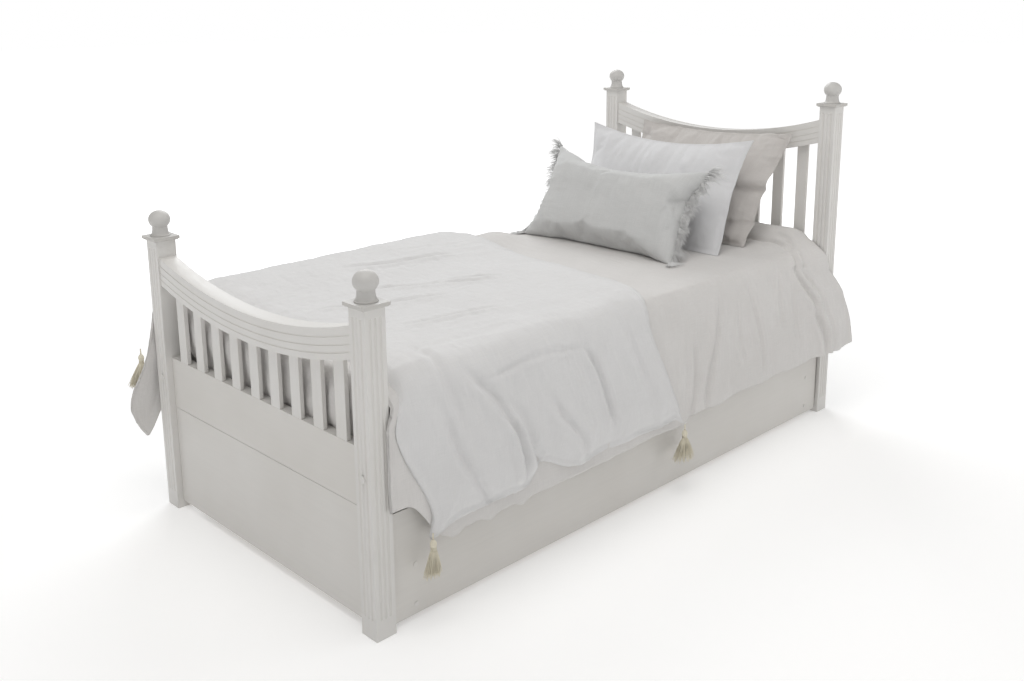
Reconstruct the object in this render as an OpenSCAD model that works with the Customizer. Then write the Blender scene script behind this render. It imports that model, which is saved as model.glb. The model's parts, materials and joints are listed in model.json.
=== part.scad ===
// Trundle bed: a single bed with fluted posts and slatted, sagging end rails,
// made up with a coverlet, a duvet and three pillows, over a rolling trundle.
// Millimetres, +Z up. X runs along the bed with the head at +X, and the
// trundle side is at -Y. The origin is on the floor under the bed's middle.

/* [Bed frame] */
// Length over the outer faces of the posts
bed_length = 2044; // [2030:2:2080]
// Width over the outer faces of the posts
bed_width = 1020; // [1010:2:1040]
// Side of the square posts
post_side = 58; // [54:1:62]
// Height of the foot posts, under their caps
foot_post_height = 810; // [790:5:830]
// Height of the head posts, under their caps
head_post_height = 1100; // [1080:5:1120]
// How far a cap plate stands out past its post
cap_overhang = 9.5; // [6:0.5:12]
// Thickness of a cap plate
cap_thickness = 11.5; // [9:0.5:14]
// Radius of the ball on each finial
finial_ball_radius = 30; // [26:1:32]

/* [Ends] */
// Height of the solid lower panel's top edge
panel_top = 467; // [455:1:490]
// Height of the solid lower panel's bottom edge
panel_bottom = 22; // [15:1:40]
// Height of the face of a curved top rail
top_rail_height = 77; // [70:1:84]
// How much lower a top rail is at its middle than at its ends
top_rail_sag = 68; // [50:2:80]
// Number of slats in each end
end_slat_count = 9; // [7:1:11]
// Width of an end slat
end_slat_width = 41; // [36:1:46]

/* [Mattress and support] */
// Length of the mattress
mattress_length = 1900; // [1880:5:1900]
// Width of the mattress
mattress_width = 915; // [900:5:920]
// Thickness of the mattress
mattress_height = 210; // [200:5:215]
// Number of slats under the mattress
bed_slat_count = 13; // [10:1:15]

/* [Trundle] */
// Height of the trundle front's top edge
trundle_front_top = 300; // [290:1:302]
// Depth of the trundle from front face to back face
trundle_depth = 928; // [900:2:930]
// Number of slats in the trundle
trundle_slat_count = 12; // [10:1:13]
// Radius of a caster wheel
wheel_radius = 25; // [24:0.5:25]

/* [Bedding] */
// Height of the hem of the coverlet over the floor
coverlet_hem = 235; // [225:5:260]
// Height of the hem of the duvet over the floor
duvet_hem = 246; // [236:5:270]
// How far the duvet reaches from the foot end of the mattress
duvet_length = 1080; // [1000:10:1120]

/* [Hidden] */

FOOT = -1;
HEAD = 1;
NEAR = -1;
FAR = 1;

// Colours
paint = "whitesmoke";
bare_wood = "burlywood";
white_linen = "white";
beige_linen = "linen";
grey_linen = "silver";
cream_cotton = "cornsilk";
steel = "lightsteelblue";
ticking = "ivory";

// Frame
half_length = bed_length / 2;
half_width = bed_width / 2;
post_x = half_length - post_side / 2;
post_y = half_width - post_side / 2;
inner_x = half_length - post_side;
inner_y = half_width - post_side;

// Flutes on the outward faces of the posts
flute_radius = 5;
flute_depth = 2;
flute_pitch = 14;
flute_start = 55;
flute_end_gap = 24;

// Finials
peg_radius = 8;
peg_length = 30;
peg_clearance = 0.1;
finial_base_radius = 27.5;
finial_neck_radius = 21;
finial_neck_height = 24;
ball_half_height = 26;
ball_centre_height = 46;
profile_steps = 14;

// End parts, measured inwards from the outer face of the posts
top_rail_recess = 4;
top_rail_depth = 50;
panel_recess = 18;
panel_thickness = 30;
slat_recess = 18;
slat_thickness = 12;
rail_end_drop = 45;
rail_groove_width = 3;
rail_groove_depth = 1;
rail_groove_drops = [20, 40, 58];
half_span = inner_y;
rail_radius = (half_span * half_span + top_rail_sag * top_rail_sag) / (2 * top_rail_sag);
panel_line_width = 2.5;
panel_line_depth = 1.2;
panel_line_height = 317;

// Side rails and what they carry
side_rail_thickness = 24;
side_rail_bottom = 312;
side_rail_height = 158;
side_rail_outer = half_width - 17;
side_rail_inner = side_rail_outer - side_rail_thickness;
side_rail_mid = side_rail_outer - side_rail_thickness / 2;
ledge_width = 28;
ledge_height = 30;
ledge_bottom = 340;
bed_slat_width = 70;
bed_slat_height = 18;
bed_slat_bottom = ledge_bottom + ledge_height;
mattress_bottom = bed_slat_bottom + bed_slat_height;
mattress_top = mattress_bottom + mattress_height;
mattress_corner = 45;

// Rail bolts
bolt_height = 405;
bolt_radius = 4;
bolt_hole_radius = 4.1;
bolt_head_radius = 7;
bolt_head_hole_radius = 7.5;
bolt_head_height = 6;
bolt_head_sunk = 9;
bolt_reach = 45;
nut_radius = 6;
nut_hole_radius = 6.1;
nut_length = 18;
nut_setback = 35;
cover_radius = 9;
cover_stub_radius = 7.3;
cover_stub_length = 2.5;
cover_proud = 2.5;

// Bedding
coverlet_gap = 1;
coverlet_thickness = 16;
coverlet_bottom = mattress_top + coverlet_gap;
coverlet_surface = coverlet_bottom + coverlet_thickness;
duvet_thickness = 32;
duvet_bottom = coverlet_surface + 1;
duvet_surface = duvet_bottom + duvet_thickness;
drape_reach = 16;
duvet_outset = 19;
drape_bend = 470;
bedding_foot = -mattress_length / 2 + 4;
bedding_head = mattress_length / 2 - 4;
duvet_head = bedding_foot + duvet_length;
drape_inset = 12;
duvet_far_hem = 440;
// Corners of the covers that hang outside a post
coverlet_flap_x = half_length - 4;
coverlet_flap_top = 500;
duvet_flap_x = half_length - 12;
duvet_flap_top = 585;

// Pillows: width, height, thickness and lean, and where the lower edge stands
pillow_rest = coverlet_surface + 4;
pillow_seam = 8;
front_pillow_size = [690, 360, 120];
front_pillow_lean = 31;
front_pillow_x = 402;
front_pillow_y = 60;
middle_pillow_size = [730, 400, 105];
middle_pillow_lean = 23;
middle_pillow_x = 610;
middle_pillow_y = 50;
rear_pillow_size = [690, 400, 100];
rear_pillow_lean = 22;
rear_pillow_x = 780;
rear_pillow_y = -50;
fringe_reach = 62;
fringe_thickness = 12;

// Tassels
tassel_length = 95;
tassel_radius = 20;
tassel_cord_radius = 3;
tassel_waist_radius = 7;
tassel_head_radius = 9;
tassel_y = half_width + 39.5;
tassel_thickness = 20;
near_tassel_top = 215;
far_tassel_top = duvet_far_hem;
far_tassel_foot_x = -half_length + 34;
tassel_foot_x = -half_length + 142;
tassel_head_x = -half_length + 1125;

// Trundle
trundle_half_length = inner_x - 4;
trundle_front_y = -half_width + 12;
trundle_front_thickness = 22;
trundle_front_bottom = 15;
tray_board = 18;
tray_bottom = 65;
tray_top = 215;
tray_front = trundle_front_y + trundle_front_thickness;
tray_back = trundle_front_y + trundle_depth - tray_board;
tray_inner_x = trundle_half_length - tray_board;
trundle_ledge_width = 40;
trundle_ledge_height = 25;
end_cleat_width = 62;
cleat_gap = 2;
trundle_slat_width = 70;
trundle_slat_height = 12;
trundle_slat_bottom = tray_bottom + trundle_ledge_height;
trundle_mattress_bottom = trundle_slat_bottom + trundle_slat_height;
trundle_mattress_height = 118;
trundle_mattress_gap = 8;
screw_cover_radius = 6;
screw_cover_height = 1.5;
screw_cover_x = 892;
screw_cover_heights = [42, 147];

// Casters
plate_thickness = 2.5;
plate_size = 46;
plate_bottom = tray_bottom - plate_thickness;
pin_radius = 4;
pin_head_radius = 6.5;
pin_head_height = 2.4;
crown_radius = 16;
crown_top = plate_bottom - 0.3;
crown_thickness = 4;
pin_bore_radius = pin_radius + 0.05;
pin_bottom = crown_top - crown_thickness - 0.3;
trail = 18;
axle_radius = 3;
axle_hole_radius = axle_radius + 0.06;
cheek_thickness = 2.2;
cheek_gap = 19;
wheel_width = 17;
axle_head_radius = 5;
axle_head_thickness = 1.5;
caster_x = tray_inner_x - end_cleat_width / 2;
caster_near_y = tray_front + trundle_ledge_width + cleat_gap + plate_size / 2 + 3;
caster_far_y = tray_back - trundle_ledge_width - cleat_gap - plate_size / 2 - 3;

// Points of an elliptical arc between two angles
function arc(cx, cy, rx, ry, a0, a1, steps) =
  [for (i = [0:steps]) let (a = a0 + (a1 - a0) * i / steps) [cx + rx * cos(a), cy + ry * sin(a)]];

// ---------------------------------------------------------------- posts

module flute(height) {
  translate([0, 0, flute_start])
    cylinder(r = flute_radius, h = height - flute_start - flute_end_gap, $fn = 24);
  for (z = [flute_start, height - flute_end_gap])
    translate([0, 0, z]) sphere(r = flute_radius, $fn = 24);
}

module post(end, side, height) {
  color(paint)
    translate([end * post_x, side * post_y, 0])
      difference() {
        translate([-post_side / 2, -post_side / 2, 0]) cube([post_side, post_side, height]);
        for (turn = [0, 180, side * 90], k = [-1:1])
          rotate(turn)
            translate([post_side / 2 + flute_radius - flute_depth, k * flute_pitch, 0])
              flute(height);
        translate([0, 0, height - peg_length - 2])
          cylinder(r = peg_radius + peg_clearance, h = peg_length + 3, $fn = 32);
        translate([0, 0, bolt_height]) rotate([0, 90, 0])
          cylinder(r = bolt_hole_radius, h = post_side + 2, center = true, $fn = 32);
        translate([end * (post_side / 2 - bolt_head_sunk), 0, bolt_height])
          rotate([0, end * 90, 0])
            cylinder(r = bolt_head_hole_radius, h = bolt_head_sunk + 1, $fn = 32);
      }
}

module post_cap(end, side, height) {
  size = post_side + 2 * cap_overhang;
  color(paint)
    translate([end * post_x, side * post_y, height])
      difference() {
        union() {
          translate([-size / 2, -size / 2, 3]) cube([size, size, cap_thickness - 3]);
          translate([-size / 2 + 3, -size / 2 + 3, 0]) cube([size - 6, size - 6, 3.5]);
        }
        translate([0, 0, -1])
          cylinder(r = peg_radius + peg_clearance, h = cap_thickness + 2, $fn = 32);
      }
}

module finial(end, side, height) {
  neck_angle = acos(finial_neck_radius / finial_ball_radius);
  ball = arc(0, ball_centre_height, finial_ball_radius, ball_half_height,
             -neck_angle, 90, profile_steps);
  foot = arc(finial_base_radius, finial_neck_height, finial_base_radius - finial_neck_radius,
             finial_neck_height - 3, 270, 180, 8);
  outline = concat([[0, 0], [finial_base_radius, 0]], foot, ball);
  color(paint)
    translate([end * post_x, side * post_y, height + cap_thickness]) {
      rotate_extrude($fn = 64) polygon(outline);
      translate([0, 0, -cap_thickness - peg_length])
        cylinder(r = peg_radius, h = cap_thickness + peg_length + 1, $fn = 32);
    }
}

// ---------------------------------------------------------------- ends

module end_top_rail(end, post_height) {
  low = post_height - rail_end_drop - top_rail_sag;
  centre = low + rail_radius;
  mid_x = end * (half_length - top_rail_recess - top_rail_depth / 2);
  color(paint)
    translate([mid_x, 0, 0])
      difference() {
        translate([-top_rail_depth / 2, -half_span, low - top_rail_height])
          cube([top_rail_depth, 2 * half_span, top_rail_height + top_rail_sag + 10]);
        translate([0, 0, centre]) rotate([0, 90, 0])
          cylinder(r = rail_radius, h = top_rail_depth + 2, center = true, $fn = 360);
        translate([0, 0, centre]) rotate([0, 90, 0])
          difference() {
            cylinder(r = rail_radius + 400, h = top_rail_depth + 2, center = true, $fn = 360);
            cylinder(r = rail_radius + top_rail_height, h = top_rail_depth + 4, center = true,
                     $fn = 360);
          }
        for (drop = rail_groove_drops, face = [-1, 1])
          translate([face * top_rail_depth / 2, 0, centre]) rotate([0, 90, 0])
            difference() {
              cylinder(r = rail_radius + drop + rail_groove_width, h = 2 * rail_groove_depth,
                       center = true, $fn = 360);
              cylinder(r = rail_radius + drop, h = 2 * rail_groove_depth + 2, center = true,
                       $fn = 360);
            }
      }
}

module end_slats(end, post_height) {
  low = post_height - rail_end_drop - top_rail_sag;
  gap = (2 * inner_y - end_slat_count * end_slat_width) / (end_slat_count + 1);
  slat_x = end * (half_length - slat_recess - slat_thickness / 2);
  color(paint)
    difference() {
      for (i = [0:end_slat_count - 1])
        translate([slat_x - slat_thickness / 2,
                   -inner_y + gap + i * (end_slat_width + gap), panel_top])
          cube([slat_thickness, end_slat_width, low + top_rail_sag - panel_top]);
      translate([slat_x, 0, low + rail_radius]) rotate([0, 90, 0])
        cylinder(r = rail_radius + top_rail_height, h = slat_thickness + 2, center = true,
                 $fn = 360);
    }
}

module end_panel(end) {
  outer_x = half_length - panel_recess;
  color(paint)
    difference() {
      translate([end * (outer_x - panel_thickness / 2), 0, (panel_top + panel_bottom) / 2])
        cube([panel_thickness, 2 * inner_y, panel_top - panel_bottom], center = true);
      translate([end * outer_x, 0, panel_line_height])
        cube([2 * panel_line_depth, 2 * inner_y + 2, panel_line_width], center = true);
    }
}

// ---------------------------------------------------------------- side rails

module side_rail(side) {
  color(paint)
    difference() {
      translate([0, side * side_rail_mid, side_rail_bottom + side_rail_height / 2])
        cube([2 * inner_x, side_rail_thickness, side_rail_height], center = true);
      for (end = [FOOT, HEAD]) {
        translate([end * (inner_x + 1), side * post_y, bolt_height])
          rotate([0, -end * 90, 0])
            cylinder(r = bolt_hole_radius, h = bolt_reach + 8, $fn = 32);
        translate([end * (inner_x - nut_setback), side * (side_rail_inner - 1), bolt_height])
          rotate([-side * 90, 0, 0])
            cylinder(r = nut_hole_radius, h = nut_length + 2, $fn = 32);
      }
    }
}

module slat_ledges() {
  color(bare_wood)
    for (side = [NEAR, FAR])
      translate([0, side * (side_rail_inner - ledge_width / 2), ledge_bottom + ledge_height / 2])
        cube([2 * inner_x - 20, ledge_width, ledge_height], center = true);
}

module slat_row(count, width, height, length, span, bottom, mid_y) {
  pitch = (span - width) / (count - 1);
  for (i = [0:count - 1])
    translate([-span / 2 + i * pitch, mid_y - length / 2, bottom]) cube([width, length, height]);
}

module bed_slats() {
  color(bare_wood)
    slat_row(bed_slat_count, bed_slat_width, bed_slat_height, 2 * side_rail_inner - 4,
             2 * inner_x - 30, bed_slat_bottom, 0);
}

module at_rail_bolts() {
  for (end = [FOOT, HEAD], side = [NEAR, FAR])
    translate([end * half_length, side * post_y, bolt_height]) rotate([0, -end * 90, 0])
      children();
}

module rail_bolts() {
  color(steel)
    at_rail_bolts() {
      translate([0, 0, bolt_head_sunk - bolt_head_height])
        cylinder(r = bolt_head_radius, h = bolt_head_height, $fn = 32);
      translate([0, 0, bolt_head_sunk - 1])
        cylinder(r = bolt_radius, h = post_side + bolt_reach - bolt_head_sunk, $fn = 32);
    }
}

module barrel_nuts() {
  color(steel)
    for (end = [FOOT, HEAD], side = [NEAR, FAR])
      difference() {
        translate([end * (inner_x - nut_setback), side * side_rail_inner, bolt_height])
          rotate([-side * 90, 0, 0]) cylinder(r = nut_radius, h = nut_length, $fn = 32);
        translate([end * (inner_x - nut_setback), side * post_y, bolt_height])
          rotate([0, 90, 0]) cylinder(r = bolt_radius + 0.05, h = 20, center = true, $fn = 32);
      }
}

module bolt_covers() {
  color(paint)
    at_rail_bolts() {
      translate([0, 0, -cover_proud]) cylinder(r = cover_radius, h = cover_proud, $fn = 32);
      translate([0, 0, -0.5]) cylinder(r = cover_stub_radius, h = cover_stub_length, $fn = 32);
    }
}

// ---------------------------------------------------------------- mattress and bedding

module rounded_slab(length, width, height, corner) {
  cube([length - 2 * corner, width, height], center = true);
  cube([length, width - 2 * corner, height], center = true);
  for (x = [-1, 1], y = [-1, 1])
    translate([x * (length / 2 - corner), y * (width / 2 - corner), 0])
      cylinder(r = corner, h = height, center = true, $fn = 48);
}

module mattress() {
  color(ticking)
    translate([0, 0, mattress_bottom + mattress_height / 2])
      rounded_slab(mattress_length, mattress_width, mattress_height, mattress_corner);
}

// A flat cover on the mattress, between two places along the bed
module cover_top(x0, x1, bottom, thickness, half) {
  translate([x0, -half, bottom]) cube([x1 - x0, 2 * half, thickness]);
}

// Fabric hanging from the edge of the mattress, seen along X
module drape(side, x0, x1, bottom, thickness, outset, hem) {
  edge = mattress_width / 2 + drape_inset + 1;
  shoulder = half_width + 3 + outset;
  hem_y = half_width + drape_reach + outset;
  outline = [
    [edge, bottom], [edge, bottom + thickness], [shoulder - 10, bottom + thickness - 12],
    [shoulder + thickness, bottom - 60], [hem_y + thickness, hem],
    [hem_y, hem], [shoulder, drape_bend], [shoulder - 4, bottom - 50], [shoulder - 22, bottom - 8]
  ];
  translate([x0, 0, 0]) rotate([90, 0, 90])
    linear_extrude(x1 - x0) polygon([for (p = outline) [side * p[0], p[1]]]);
}

module coverlet_top() {
  color(beige_linen)
    cover_top(bedding_foot, bedding_head, coverlet_bottom, coverlet_thickness,
              mattress_width / 2 + drape_inset);
}

// The part of a hanging cover under the given height
module below(height) {
  intersection() {
    translate([-bed_length, -bed_width, 0]) cube([2 * bed_length, 2 * bed_width, height]);
    children();
  }
}

// The head corner hangs outside the near post, and the foot corner outside the far post
module coverlet_drape(side) {
  thickness = coverlet_thickness - 2;
  flap_start = side * coverlet_flap_x;
  color(beige_linen) {
    drape(side, bedding_foot, inner_x - 6, coverlet_bottom, thickness, 0, coverlet_hem);
    below(coverlet_flap_top)
      drape(side, min(-flap_start, 0), max(-flap_start, 0), coverlet_bottom, thickness, 0,
            coverlet_hem);
  }
}

module duvet_top() {
  color(white_linen)
    cover_top(bedding_foot, duvet_head, duvet_bottom, duvet_thickness,
              mattress_width / 2 + drape_inset);
}

module duvet_drape(side) {
  hem = side == NEAR ? duvet_hem : duvet_far_hem;
  color(white_linen) {
    drape(side, bedding_foot + 20, duvet_head, duvet_bottom, 16, duvet_outset, hem);
    if (side == FAR)
      below(duvet_flap_top)
        drape(side, -duvet_flap_x, duvet_head, duvet_bottom, 16, duvet_outset, hem);
  }
}

// A cushion of the given [width, height, thickness], standing on its lower edge
// and leaning back; thick in the middle and thin at its seam
module cushion(size, lean, x, y) {
  width = size[0];
  height = size[1];
  belly_w = width * 0.34;
  belly_h = height * 0.26;
  translate([x, y, pillow_rest]) rotate([0, lean, 0])
    translate([0, 0, height / 2])
      hull() {
        for (v = [-1, 1], w = [-1, 1])
          translate([0, v * (width / 2 - pillow_seam), w * (height / 2 - pillow_seam)])
            sphere(r = pillow_seam, $fn = 16);
        for (v = [-1, 1], w = [-1, 1])
          translate([0, v * belly_w, w * belly_h])
            scale([1, 1.2, 1]) sphere(r = size[2] / 2, $fn = 24);
      }
}

module front_pillow() {
  color(grey_linen)
    cushion(front_pillow_size, front_pillow_lean, front_pillow_x, front_pillow_y);
}

module middle_pillow() {
  color(white_linen)
    cushion(middle_pillow_size, middle_pillow_lean, middle_pillow_x, middle_pillow_y);
}

module rear_pillow() {
  color(beige_linen)
    cushion(rear_pillow_size, rear_pillow_lean, rear_pillow_x, rear_pillow_y);
}

module pillow_fringe() {
  middle = front_pillow_size[0] / 2 + 1 + fringe_reach / 2;
  color(grey_linen)
    for (side = [NEAR, FAR])
      translate([front_pillow_x, front_pillow_y, pillow_rest])
        rotate([0, front_pillow_lean, 0])
          translate([-fringe_thickness / 2, side * middle - fringe_reach / 2, 10])
            cube([fringe_thickness, fringe_reach, front_pillow_size[1] - 20]);
}

// A tassel lies flat against the cloth
module tassel(x, side, top) {
  right = [
    [tassel_radius, 0], [tassel_waist_radius, tassel_length - 32],
    [tassel_head_radius, tassel_length - 22], [tassel_cord_radius, tassel_length - 12],
    [tassel_cord_radius, tassel_length]
  ];
  left = [for (i = [len(right) - 1:-1:0]) [-right[i][0], right[i][1]]];
  translate([x, side * tassel_y + tassel_thickness / 2, top - tassel_length])
    rotate([90, 0, 0]) linear_extrude(tassel_thickness) polygon(concat(right, left));
}

module near_tassels() {
  color(cream_cotton)
    for (x = [tassel_foot_x, tassel_head_x]) tassel(x, NEAR, near_tassel_top);
}

module far_tassels() {
  color(cream_cotton)
    for (x = [far_tassel_foot_x, tassel_head_x]) tassel(x, FAR, far_tassel_top);
}

// ---------------------------------------------------------------- trundle

module trundle_front() {
  color(paint)
    translate([-trundle_half_length, trundle_front_y, trundle_front_bottom])
      cube([2 * trundle_half_length, trundle_front_thickness,
            trundle_front_top - trundle_front_bottom]);
}

module trundle_back() {
  color(paint)
    translate([-trundle_half_length, tray_back, tray_bottom])
      cube([2 * trundle_half_length, tray_board, tray_top - tray_bottom]);
}

module trundle_end(end) {
  mid_x = end * (trundle_half_length - tray_board / 2);
  color(paint)
    translate([mid_x - tray_board / 2, tray_front, tray_bottom])
      cube([tray_board, tray_back - tray_front, tray_top - tray_bottom]);
}

module trundle_ledges() {
  color(bare_wood) {
    for (y = [tray_front, tray_back - trundle_ledge_width])
      translate([-tray_inner_x, y, tray_bottom])
        cube([2 * tray_inner_x, trundle_ledge_width, trundle_ledge_height]);
    for (end = [FOOT, HEAD])
      translate([end * caster_x - end_cleat_width / 2,
                 tray_front + trundle_ledge_width + cleat_gap, tray_bottom])
        cube([end_cleat_width, tray_back - tray_front - 2 * (trundle_ledge_width + cleat_gap),
              trundle_ledge_height]);
  }
}

module trundle_slats() {
  color(bare_wood)
    slat_row(trundle_slat_count, trundle_slat_width, trundle_slat_height,
             tray_back - tray_front - 4, 2 * tray_inner_x - 8, trundle_slat_bottom,
             (tray_back + tray_front) / 2);
}

module trundle_mattress() {
  color(ticking)
    translate([0, (tray_back + tray_front) / 2,
               trundle_mattress_bottom + trundle_mattress_height / 2])
      rounded_slab(2 * (tray_inner_x - trundle_mattress_gap),
                   tray_back - tray_front - 2 * trundle_mattress_gap,
                   trundle_mattress_height, mattress_corner);
}

module screw_covers() {
  color(paint)
    for (end = [FOOT, HEAD], z = screw_cover_heights)
      translate([end * screw_cover_x, trundle_front_y, z]) rotate([90, 0, 0])
        cylinder(r = screw_cover_radius, h = screw_cover_height, $fn = 24);
}

// ---------------------------------------------------------------- casters

module at_caster(end, side) {
  translate([end * caster_x, side == NEAR ? caster_near_y : caster_far_y, 0]) children();
}

module caster_plates() {
  color(steel)
    for (end = [FOOT, HEAD], side = [NEAR, FAR])
      at_caster(end, side) {
        translate([-plate_size / 2, -plate_size / 2, plate_bottom])
          cube([plate_size, plate_size, plate_thickness]);
        translate([0, 0, pin_bottom - 1])
          cylinder(r = pin_radius, h = plate_bottom - pin_bottom + 2, $fn = 32);
        translate([0, 0, pin_bottom - pin_head_height])
          cylinder(r = pin_head_radius, h = pin_head_height, $fn = 32);
      }
}

module fork(end, side) {
  color(steel)
    at_caster(end, side)
      difference() {
        union() {
          translate([0, 0, crown_top - crown_thickness])
            cylinder(r = crown_radius, h = crown_thickness, $fn = 48);
          for (face = [-1, 1])
            translate([face * (cheek_gap + cheek_thickness) / 2 - cheek_thickness / 2, 0, 0])
              cheek();
        }
        translate([0, 0, crown_top - crown_thickness - 1])
          cylinder(r = pin_bore_radius, h = crown_thickness + 2, $fn = 48);
      }
}

module cheek() {
  eye = 8;
  difference() {
    rotate([90, 0, 90]) linear_extrude(cheek_thickness)
      polygon([[-12, crown_top - crown_thickness + 1], [11, crown_top - crown_thickness + 1],
               [-trail + eye, wheel_radius - 2], [-trail + 4, wheel_radius - eye],
               [-trail - 4, wheel_radius - eye], [-trail - eye, wheel_radius - 2],
               [-trail - eye, wheel_radius + 6]]);
    translate([-1, -trail, wheel_radius]) rotate([0, 90, 0])
      cylinder(r = axle_hole_radius, h = cheek_thickness + 2, $fn = 32);
  }
}

module axle(end, side) {
  span = cheek_gap + 2 * cheek_thickness + 0.2;
  color(steel)
    at_caster(end, side)
      translate([0, -trail, wheel_radius]) rotate([0, 90, 0]) {
        cylinder(r = axle_radius, h = span + 1, center = true, $fn = 32);
        for (face = [-1, 1])
          translate([0, 0, face * (span + axle_head_thickness) / 2])
            cylinder(r = axle_head_radius, h = axle_head_thickness, center = true, $fn = 32);
      }
}

module wheel(end, side) {
  half = wheel_width / 2;
  color("dimgray")
    at_caster(end, side)
      translate([0, -trail, wheel_radius]) rotate([0, 90, 0])
        rotate_extrude($fn = 64)
          polygon(concat(
            [[axle_hole_radius, -half], [8, -half], [8, -half + 2], [wheel_radius - 6, -half + 2],
             [wheel_radius - 6, -half]],
            arc(wheel_radius - 3, -half + 3, 3, 3, -90, 0, 4),
            arc(wheel_radius - 3, half - 3, 3, 3, 0, 90, 4),
            [[wheel_radius - 6, half], [wheel_radius - 6, half - 2], [8, half - 2], [8, half],
             [axle_hole_radius, half]]));
}

// ---------------------------------------------------------------- nodes

post(FOOT, NEAR, foot_post_height);  // foot_near_post
post(FOOT, FAR, foot_post_height);  // foot_far_post
post(HEAD, NEAR, head_post_height);  // head_near_post
post(HEAD, FAR, head_post_height);  // head_far_post
post_cap(FOOT, NEAR, foot_post_height);  // foot_near_cap
post_cap(FOOT, FAR, foot_post_height);  // foot_far_cap
post_cap(HEAD, NEAR, head_post_height);  // head_near_cap
post_cap(HEAD, FAR, head_post_height);  // head_far_cap
finial(FOOT, NEAR, foot_post_height);  // foot_near_finial
finial(FOOT, FAR, foot_post_height);  // foot_far_finial
finial(HEAD, NEAR, head_post_height);  // head_near_finial
finial(HEAD, FAR, head_post_height);  // head_far_finial
end_top_rail(FOOT, foot_post_height);  // foot_top_rail
end_top_rail(HEAD, head_post_height);  // head_top_rail
end_slats(FOOT, foot_post_height);  // foot_slats
end_slats(HEAD, head_post_height);  // head_slats
end_panel(FOOT);  // foot_panel
end_panel(HEAD);  // head_panel
side_rail(NEAR);  // near_side_rail
side_rail(FAR);  // far_side_rail
slat_ledges();
bed_slats();
rail_bolts();
barrel_nuts();
bolt_covers();
mattress();
coverlet_top();
coverlet_drape(NEAR);  // coverlet_near_drape
coverlet_drape(FAR);  // coverlet_far_drape
duvet_top();
duvet_drape(NEAR);  // duvet_near_drape
duvet_drape(FAR);  // duvet_far_drape
front_pillow();
middle_pillow();
rear_pillow();
pillow_fringe();
near_tassels();
far_tassels();
trundle_front();
trundle_back();
trundle_end(FOOT);  // trundle_foot_end
trundle_end(HEAD);  // trundle_head_end
trundle_ledges();
trundle_slats();
trundle_mattress();
screw_covers();
caster_plates();
fork(FOOT, NEAR);  // near_foot_fork
fork(HEAD, NEAR);  // near_head_fork
fork(FOOT, FAR);  // far_foot_fork
fork(HEAD, FAR);  // far_head_fork
axle(FOOT, NEAR);  // near_foot_axle
axle(HEAD, NEAR);  // near_head_axle
axle(FOOT, FAR);  // far_foot_axle
axle(HEAD, FAR);  // far_head_axle
wheel(FOOT, NEAR);  // near_foot_wheel
wheel(HEAD, NEAR);  // near_head_wheel
wheel(FOOT, FAR);  // far_foot_wheel
wheel(HEAD, FAR);  // far_head_wheel
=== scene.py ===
"""The looks of the trundle bed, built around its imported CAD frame.

Metres, in the frame's own axes: X along the bed with the head at +X, the trundle side at -Y.
"""
import json
import math

import bpy
import numpy as np
from mathutils import Matrix, Vector


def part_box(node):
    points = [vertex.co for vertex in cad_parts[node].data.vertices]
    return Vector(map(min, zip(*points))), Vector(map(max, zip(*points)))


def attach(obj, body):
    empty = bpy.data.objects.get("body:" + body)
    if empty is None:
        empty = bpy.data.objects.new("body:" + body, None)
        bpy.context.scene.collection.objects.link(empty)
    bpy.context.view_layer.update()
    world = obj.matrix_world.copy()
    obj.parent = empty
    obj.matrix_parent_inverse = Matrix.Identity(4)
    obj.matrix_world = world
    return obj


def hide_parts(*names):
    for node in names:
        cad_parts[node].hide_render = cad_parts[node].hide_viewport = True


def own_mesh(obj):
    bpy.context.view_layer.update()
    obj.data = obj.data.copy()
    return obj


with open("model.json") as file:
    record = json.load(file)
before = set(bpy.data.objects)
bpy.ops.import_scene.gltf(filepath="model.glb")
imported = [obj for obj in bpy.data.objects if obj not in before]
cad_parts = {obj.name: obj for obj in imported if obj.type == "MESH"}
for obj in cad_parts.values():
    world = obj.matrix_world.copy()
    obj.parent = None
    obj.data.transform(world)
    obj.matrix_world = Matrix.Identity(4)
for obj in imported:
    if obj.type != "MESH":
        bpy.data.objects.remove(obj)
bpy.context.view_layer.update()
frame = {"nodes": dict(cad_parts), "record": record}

NODES = frame["nodes"]


# ---- camera, light and floor

CAMERA_PLACE = Vector((-2.3425, -2.3286, 1.4763))
CAMERA_HEADING = 0.7868
CAMERA_PITCH = -0.2276
CAMERA_ROLL = -0.0054
CAMERA_LENS = 37.47
CAMERA_SHIFT = (-0.0119, -0.0958)
FLOOR_GLOW = (0.26, 0.72)


def to_scene(thing):
    bpy.context.scene.collection.objects.link(thing)


def add_camera():
    forward = Vector((math.cos(CAMERA_PITCH) * math.cos(CAMERA_HEADING),
                      math.cos(CAMERA_PITCH) * math.sin(CAMERA_HEADING),
                      math.sin(CAMERA_PITCH)))
    level = Vector((math.sin(CAMERA_HEADING), -math.cos(CAMERA_HEADING), 0))
    upright = level.cross(forward)
    c, s = math.cos(CAMERA_ROLL), math.sin(CAMERA_ROLL)
    right, up = c * level + s * upright, c * upright - s * level
    data = bpy.data.cameras.new("camera")
    data.lens = CAMERA_LENS
    data.shift_x, data.shift_y = CAMERA_SHIFT
    data.clip_end = 100
    camera = bpy.data.objects.new("camera", data)
    turn = Matrix((right, up, -forward)).transposed().to_4x4()
    camera.matrix_world = Matrix.Translation(CAMERA_PLACE) @ turn
    to_scene(camera)
    bpy.context.scene.camera = camera


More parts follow.
